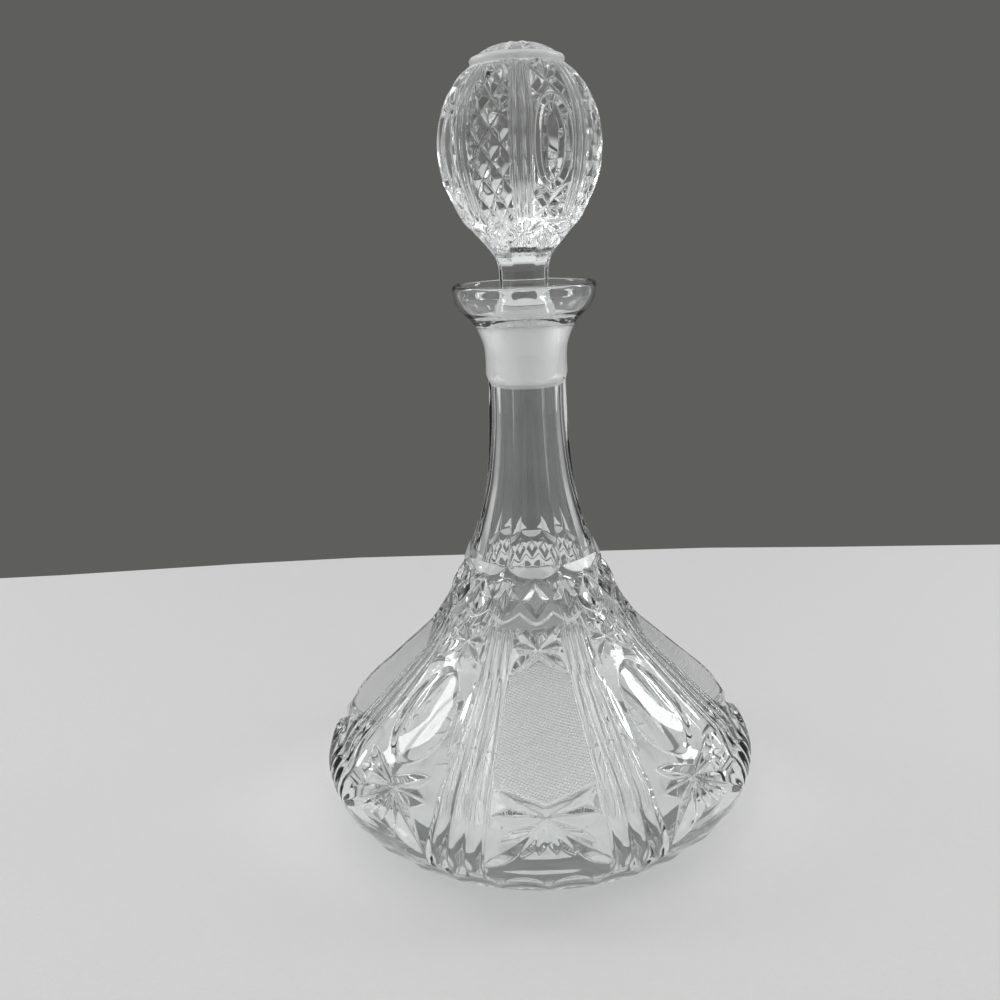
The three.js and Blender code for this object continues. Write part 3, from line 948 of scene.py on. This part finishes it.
    def _press_wall(self, rows: Rows) -> None:
        """Press the pattern into the outside of the wall.

        Args:
            rows: The rows from the foot to the rim.
        """
        thumbs = self._thumb(rows)
        cuts = (
            self.low_star.depth(rows),
            self.top_star.depth(rows),
            self._ribs(rows),
            self._panel(rows),
            thumbs,
        )
        cut = np.maximum.reduce(cuts) + np.minimum(thumbs, 0)
        cut = np.maximum(cut, self._scoops(rows) * rows.out)
        rows.press(cut + self._flutes(rows) * rows.out - self._band(rows))

    def _ribs(self, rows: Rows) -> Grid:
        """Fans of three swelling ribs, with sharp valleys between them.

        Args:
            rows: The rows of the wall.

        Returns:
            Depth over the rows and columns.
        """
        angle = np.abs(rows.local(2 * PANEL)) - RIB_MIDDLE
        aside = (angle / RIB_PITCH + 0.5) % 1 * 2 - 1
        depth = self.rib_swell * RIB_PITCH * DEGREE * rows.radius * rounded(aside)
        inside = within(rows.height, self.rib_ends, self.rib_fades)
        return depth * inside * (1 - ease(np.abs(angle), FAN_EDGE, FAN_EDGE + self.rib_side))

    def _panel(self, rows: Rows) -> Grid:
        """Sunk field of the matt panels.

        Args:
            rows: The rows of the wall.

        Returns:
            Depth over the rows and columns.
        """
        finish = MattPanelGlass()
        aside = np.abs(rows.local(2 * PANEL)) / finish.half_angle
        low, high = finish.ends(aside)
        ends = (low - self.panel_edge, high + self.panel_edge)
        inside = within(rows.height, ends, self.panel_fades)
        return self.panel_sink * inside * (1 - ease(aside, 1, self.panel_side))

    def _thumb(self, rows: Rows) -> Grid:
        """Oval dish between two leaf-shaped cuts.

        Args:
            rows: The rows of the wall.

        Returns:
            Depth over the rows and columns, under 0 on the raised rim.
        """
        angle = rows.local(2 * PANEL, PANEL)
        up = rows.above(self.thumb_height)
        reach = rows.run_at(self.thumb_height + self.thumb_half_height)
        reach -= rows.run_at(self.thumb_height)
        away = np.hypot(angle / self.thumb_half_angle, up / reach)
        rim_width = self.thumb_rim_share
        rim = self.thumb_rim * np.clip(1 - np.abs(away - 1 - rim_width) / rim_width, 0, 1)
        dish = self.thumb_depth * np.clip(1 - away**2, 0, 1)
        dish += self.thumb_bevel * np.clip((1 - away) / self.thumb_bevel_share, 0, 1)
        along = part_way(rows.run, *(rows.run_at(height) for height in self.leaf_ends))
        off = np.radians(np.abs(np.abs(angle) - self.leaf_angle)) * rows.radius
        belly = np.sin(math.pi * along) ** self.leaf_fullness
        leaves = self.leaf_depth * np.clip(belly - off / self.leaf_half_width, 0, 1)
        return np.maximum(dish, leaves) - rim

    def _band(self, rows: Rows) -> Grid:
        """Band of raised diamonds in a sunk field with a wavy ledge under and over it.

        Args:
            rows: The rows of the wall.

        Returns:
            Rise over the rows and columns, under 0 in the field.
        """
        height, angle = rows.height, np.abs(rows.local(PANEL / 2))
        wave = (angle / (PANEL / 4)) ** self.band_wave
        foot, top = self.band_foot, self.band_top
        low = self.diamond_height - self.diamond_half_height - foot[0] + foot[1] * wave
        high = self.diamond_height + self.diamond_half_height + top[0] - top[1] * wave
        sunk = within(height, (low - self.band_edges[0], high + self.band_edges[1]), self.band_fades)
        up = np.abs(height - self.diamond_height) / self.diamond_half_height
        aside = angle / self.diamond_half_angle
        outer = up + aside
        table = aside / self.diamond_table[0] + up / self.diamond_table[1]
        slope = np.maximum(1 - outer / np.maximum(table, 1), self.diamond_steepest)
        return self.diamond_rise * np.clip((1 - outer) / slope, 0, 1) - self.band_sink * sunk

    def _flutes(self, rows: Rows) -> Grid:
        """Flat flutes down the neck, each ending on a lens-shaped ledge that faces up.

        Args:
            rows: The rows of the wall and the neck.

        Returns:
            Depth towards the axis.
        """
        height, radius, angle = rows.height, rows.radius, rows.local(PANEL)
        low, high = self.flute_ends
        ledge = rows.radius_at(low) - (height - low) * self.ledge_slope
        plane = np.maximum(self.flute_flatness * radius, ledge) / np.cos(np.radians(angle))
        top = high - self.flute_arch * (angle / (PANEL / 2)) ** 2
        inside = (height > low) * (1 - ease(height, top - self.flute_edge, top + self.flute_edge))
        return np.clip(radius - plane, 0, None) * inside

    def _scoops(self, rows: Rows) -> Grid:
        """Hollow facets round the foot, each under an arch.

        Args:
            rows: The rows of the wall.

        Returns:
            Depth towards the axis.
        """
        half = 180 / self.scoops
        angle = rows.local(2 * half, half)
        side = rows.radius_at(self.scoop_side) * math.cos(math.radians(half))
        plane = side + (rows.height - self.scoop_side) * self.scoop_slope
        hollow = self.scoop_depth * (1 - (angle / half) ** 2)
        return np.clip(rows.radius - (plane - hollow) / np.cos(np.radians(angle)), 0, None)


@dataclass
class StopperGlass:
    """Solid egg-shaped stopper with a ground plug, a slim stem and a round cap.

    Its heights count from the mouth of the socket.
    """

    columns: int = 512
    socket: float = 203.0
    plug: Run = Run(
        ((0, -24), (10.6, -24), (11.4, -23.2), (12.36, -1)), ((-24, 1.4), (0, 1.6)), curved=False
    )
    stem: Run = Run(
        (
            (12.36, -1), (12.4, 0), (12, 2.6), (10.8, 5.8), (10, 10), (9.8, 15.5), (10, 19.5),
            (11, 22.8), (13.1, 26), (15.8, 28.9),
        ),
        ((0, 1.0), (20, 1.4), (28, 0.8)),
    )
    egg: Run = Run(
        (
            (15.8, 28.9), (19.2, 32.8), (22.2, 37), (25, 42.4), (28, 49), (29.5, 55.5), (30.1, 62),
            (29.7, 67.5), (28.6, 72.6), (26.5, 78), (23.8, 82.6), (20.8, 86.2), (17.6, 88.9),
        ),
        ((28, 0.42), (90, 0.42)),
    )
    cap: Run = Run(
        (
            (17.6, 88.9), (16.2, 89.2), (16.5, 89.6), (16.9, 90.1), (16.9, 91.3), (16.5, 91.8),
            (15.4, 92),
        ),
        ((88, 0.4), (92, 0.4)),
    )
    dome: Run = Run(
        ((15.4, 92), (13, 93.6), (9.6, 95.2), (5.4, 96.4), (0, 96.9)), ((92, 0.8), (97, 1.0))
    )
    widest: float = 30.0
    hob_half_width: float = 4.3
    hob_half_height: float = 5.5
    hob_depth: float = 1.8
    hob_flat: float = 0.36
    hob_middle: float = 61.0
    hob_least: float = 0.45
    panel_edge: float = 14.8
    panel_edge_width: Pair = (0.6, 0.2)
    rib_angle: float = 6.2
    rib_depth: float = 1.9
    rib_reach: float = 1.15
    stem_ends: Pair = (6.5, 36.0)
    stem_fades: Pair = (3.0, 6.0)
    stem_flatness: float = 0.935
    cut_ends: Pair = (31.0, 88.4)
    cut_rise: float = 5.0
    cut_fades: Pair = (3.5, 2.9)
    thumb_middle: float = 61.5
    thumb_half_height: float = 15.8
    thumb_half_width: float = 7.3
    thumb_depth: float = 1.6
    thumb_bevel: float = 2.6
    thumb_dish: float = 0.4
    petal_hub: float = 22.0
    petal_depth: float = 1.5
    petal_slope: float = 0.65
    petals: Pairs = ((7.2, -8.6), (4.6, 7.8))
    dome_flatness: float = 0.93
    dome_edge: Pair = (15.4, 0.8)

    def build(self) -> list[Piece]:
        """Build the stopper.

        Returns:
            The plug, stem, egg, cap and dome.
        """
        skin = Skin((self.plug, self.stem, self.egg, self.cap, self.dome), self.columns, self.socket)
        plug, stem, egg, cap, dome, end = skin.breaks
        self._press_stem(Rows(skin, stem, cap))
        self._press_egg(Rows(skin, egg, cap + 1))
        self._press_dome(Rows(skin, dome, end + 1))
        rows = Rows(skin, egg, cap)
        over, along = rows.height - self.hob_middle, rows.above(self.hob_middle)
        clear = ClearGlass("stopper_glass").material()
        ground = GroundGlass("ground_plug").material()
        grooved = EggGlass(egg=self, run=np.polyfit(over[:, 0], along[:, 0], 3)).material()
        edge = GroundGlass("cap_edge", (0.98, 0.985, 0.98), roughness=0.3, clearness=0.55)
        return [
            skin.piece("stopper_plug", plug, stem, ground),
            skin.piece("stopper_stem", stem, egg, clear),
            skin.piece("stopper_egg", egg, cap, grooved),
            skin.piece("stopper_cap", cap, dome, edge.material()),
            skin.piece("stopper_dome", dome, end, clear),
        ]

    def _press_stem(self, rows: Rows) -> None:
        """Press eight flats round the stem, which run out under the egg.

        Args:
            rows: The rows of the stem and the egg.
        """
        plane = self.stem_flatness * rows.radius / np.cos(np.radians(rows.local(PANEL)))
        inside = within(rows.height, self.stem_ends, self.stem_fades)
        rows.press(np.clip(rows.radius - plane, 0, None) * inside * rows.out)

    def _press_egg(self, rows: Rows) -> None:
        """Press hobnails, thumbprints and ribs into the egg.

        Args:
            rows: The rows of the egg.
        """
        aside = np.abs(rows.local(PANEL)) / self.rib_angle
        grooves = self.rib_depth * rounded(aside * 2 - 1) * np.clip(rows.radius / self.widest, 0, 1)
        grooves = grooves * (1 - ease(aside, 1, self.rib_reach))
        from_hobs = np.abs(rows.local(2 * PANEL, -PANEL / 2)) / (PANEL / 2)
        start = self.cut_ends[0] + self.cut_rise * np.minimum(from_hobs, 1)
        ends = within(rows.height, (start, self.cut_ends[1]), self.cut_fades)
        rows.press(np.maximum.reduce((self._hobnails(rows), self._thumbs(rows), grooves)) * ends)

    def _hobnails(self, rows: Rows) -> Grid:
        """Panel of four-sided points between crossed grooves.

        Args:
            rows: The rows of the egg.

        Returns:
            Depth over the rows and columns.
        """
        angle = rows.local(2 * PANEL, -PANEL / 2)
        squeeze = np.clip(rows.radius / self.widest, self.hob_least, 1)
        x = np.radians(angle) * self.widest / self.hob_half_width
        y = rows.above(self.hob_middle) / self.hob_half_height
        u, v = (x + y + 1) % 2 - 1, (x - y + 1) % 2 - 1
        depth = self.hob_depth * part_way(np.maximum(np.abs(u), np.abs(v)), self.hob_flat, 1)
        inner, outer = self.panel_edge_width
        inside = 1 - ease(np.abs(angle), self.panel_edge - inner, self.panel_edge + outer)
        return depth * squeeze * inside

    def _thumbs(self, rows: Rows) -> Grid:
        """Oval dish with a bevelled edge, and leaf cuts over and under it.

        Args:
            rows: The rows of the egg.

        Returns:
            Depth over the rows and columns.
        """
        x = np.radians(rows.local(2 * PANEL, PANEL / 2)) * rows.radius
        y = rows.above(self.thumb_middle)
        wide, tall = self.thumb_half_width, self.thumb_half_height
        away = np.hypot(x / wide, y / tall)
        steepness = np.hypot(x / wide**2, y / tall**2)
        inward = (1 - away) * away / np.maximum(steepness, NO_RADIUS)
        depth = self.thumb_depth * np.clip(inward / self.thumb_bevel, 0, 1)
        depth += self.thumb_dish * np.clip(inward / self.thumb_bevel - 1, 0, 1) * (away < 1)
        for side in (-1, 1):
            above = side * y - self.petal_hub
            for tip in self.petals:
                petal = mitre(np.abs(x), above, tip, self.petal_depth, self.petal_slope)
                depth = np.maximum(depth, petal)
        return depth

    def _press_dome(self, rows: Rows) -> None:
        """Cut eight flat facets round the dome of the cap.

        Args:
            rows: The rows of the dome.
        """
        flat = self.dome_flatness / np.cos(np.radians(rows.local(PANEL)))
        depth = np.clip(rows.radius * (1 - flat), 0, None)
        edge, width = self.dome_edge
        rows.press(depth * ease(edge - rows.radius, 0, width))


@dataclass(frozen=True)
class Lamp:
    """A soft rectangular light, with its power in watts."""

    place: Place
    width: float
    height: float
    power: float


class Side(Enum):
    """Where a soft light hangs, seen from the camera."""

    ABOVE = Lamp((-250.0, -600.0, 900.0), 420.0, 260.0, 1.1)
    LEFT = Lamp((-850.0, 150.0, 650.0), 160.0, 420.0, 1.55)
    RIGHT = Lamp((800.0, 100.0, 520.0), 130.0, 420.0, 1.5)


@dataclass
class Studio:
    """Table, backdrop, lights and camera.

    A patch of the room is given by how far it reaches aside and up, in degrees, and by
    how soft its edges are there, as tangents.
    """

    cloth: Colour = (0.655, 0.652, 0.652)
    cloth_roughness: float = 0.95
    cloth_shine: float = 0.1
    fold_scale: float = 5.0
    fold_depth: float = 9.0
    fold_strength: float = 0.4
    weave_scale: float = 900.0
    weave: float = 0.05
    table_reach: Pair = (900.0, 287.0)
    near_share: float = 2.2
    far_edge: Pairs = (
        (-900, -40), (-346, -5), (-220, 8), (-130, 14), (130, 13), (220, 7), (346, 1), (900, -20)
    )
    room_below: Colour = (0.3, 0.3, 0.3)
    room_wall: Colour = (0.5, 0.5, 0.5)
    ceiling: Colour = (0.79, 0.79, 0.795)
    ground_line: Pair = (-0.15, 0.0)
    ceiling_line: Pair = (0.3, 0.5)
    backdrop: Colour = (0.112, 0.112, 0.109)
    backdrop_reach: Pair = (37.0, 17.0)
    backdrop_edges: Pair = (0.08, 0.04)
    near_dark: Colour = (0.1, 0.1, 0.102)
    near_reach: Pair = (20.0, 22.0)
    near_edges: Pair = (0.1092, 0.1212)
    side_line: Pair = (0.02, 0.1)
    level: float = 0.01
    lamps_aim: float = 120.0
    turn: float = -1.5
    camera_place: Place = (0.0, -367.0, 240.0)
    yaw: float = -1.93
    pitch: float = 16.52
    roll: float = -2.35
    lens: float = 34.06
    sensor: float = 36.0
    clip: float = 10.0

    def _turned(self) -> Matrix:
        """Turn of the studio round the decanter."""
        return Matrix.Rotation(math.radians(self.turn), 4, "Z")

    def build(self) -> None:
        """Lay the table, light it and place the camera."""
        self._table()
        self._world()
        for side in Side:
            self._light(side.name.lower(), side.value)
        self._camera()
        bpy.context.scene.view_settings.view_transform = "Standard"

    def _table(self) -> None:
        """Pale cloth on a table."""
        cloth = bpy.data.materials.new("table_cloth")
        shader = Shader(cloth)
        relief = shader.noise(self.weave_scale) * self.weave + shader.noise(self.fold_scale)
        inputs = {
            "Base Color": self.cloth,
            "Roughness": self.cloth_roughness,
            "Specular IOR Level": self.cloth_shine,
            "Normal": shader.bump(relief, self.fold_depth, self.fold_strength),
        }
        shader.finish(shader.node("ShaderNodeBsdfPrincipled", {}, inputs))
        x, y = (reach * MM for reach in self.table_reach)
        mesh = bpy.data.meshes.new("table")
        top = [(-x, -y * self.near_share, 0), (x, -y * self.near_share, 0)]
        top += [(side * MM, y + beyond * MM, 0) for side, beyond in reversed(self.far_edge)]
        mesh.from_pydata(top, [], [tuple(range(len(top)))])
        mesh.materials.append(cloth)
        table = bpy.data.objects.new("table", mesh)
        table.matrix_world = self._turned()
        bpy.context.scene.collection.objects.link(table)

    def _world(self) -> None:
        """Bright plain room, with a dark grey cloth hung behind the table."""
        world = bpy.data.worlds.new("room")
        bpy.context.scene.world = world
        shader = Shader(world)
        place = shader.node("ShaderNodeTexCoord", {}, {}, "Generated")
        inputs = {"Vector": place, "Angle": math.radians(-self.turn)}
        x, y, z = shader.split(
            shader.node("ShaderNodeVectorRotate", {"rotation_type": "Z_AXIS"}, inputs)
        )
        away = abs(y).math("MAXIMUM", self.level)
        aside, high = abs(x) / away, z / away
        colour = shader.blend(z.smooth(*self.ground_line), self.room_below, self.room_wall)
        colour = shader.blend(z.smooth(*self.ceiling_line), colour, self.ceiling)
        patches = (
            (y * -1.0, self.near_reach, self.near_edges, self.near_dark),
            (y, self.backdrop_reach, self.backdrop_edges, self.backdrop),
        )
        for ahead, reach, edges, shade in patches:
            mask = ahead.smooth(*self.side_line)
            for off, angle, edge in zip((aside, high), reach, edges):
                end = math.tan(math.radians(angle))
                mask = mask * (1 - off.smooth(end - edge, end + edge))
            colour = shader.blend(mask, colour, shade)
        background = shader.node("ShaderNodeBackground", {}, {"Color": colour})
        shader.finish(background, "ShaderNodeOutputWorld")

    def _light(self, name: str, lamp: Lamp) -> None:
        """Hang one soft light, facing the decanter.

        Args:
            name: Name of the light.
            lamp: Its place, size and power.
        """
        area = bpy.data.lights.new(name, "AREA")
        area.shape = "RECTANGLE"
        area.size = lamp.width * MM
        area.size_y = lamp.height * MM
        area.energy = lamp.power
        light = bpy.data.objects.new(name, area)
        at = Vector(lamp.place) * MM
        aim = Vector((0, 0, self.lamps_aim * MM)) - at
        facing = aim.to_track_quat("-Z", "Y").to_matrix().to_4x4()
        light.matrix_world = self._turned() @ Matrix.Translation(at) @ facing
        light.visible_camera = False
        bpy.context.scene.collection.objects.link(light)

    def _camera(self) -> None:
        """Place the camera at the photograph's viewing angle."""
        lens = bpy.data.cameras.new("camera")
        lens.lens = self.lens
        lens.sensor_width = self.sensor
        lens.clip_start = self.clip * MM
        camera = bpy.data.objects.new("camera", lens)
        place = self._turned() @ Matrix.Translation(Vector(self.camera_place) * MM)
        for angle, axis in ((-self.yaw, "Z"), (90 - self.pitch, "X"), (self.roll, "Z")):
            place = place @ Matrix.Rotation(math.radians(angle), 4, axis)
        camera.matrix_world = place
        bpy.context.scene.collection.objects.link(camera)
        bpy.context.scene.camera = camera


def dress(pieces: list[Piece], body: str, node: str) -> None:
    """Put pieces on a body in place of its CAD node.

    Args:
        pieces: The new pieces.
        body: The body that they move with.
        node: The node that they stand for.
    """
    for piece in pieces:
        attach(piece, body)
        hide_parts(node)
        LOG.info("%s: %d faces on %s", piece.name, len(piece.data.polygons), body)


def main() -> None:
    """Build the scene and note how large it came out."""
    logging.basicConfig(level=logging.INFO, format="%(message)s")
    Studio().build()
    dress(DecanterBody().build(), "decanter", "decanter_body")
    dress(StopperGlass().build(), "stopper", "stopper")


if __name__ == "__main__":
    main()
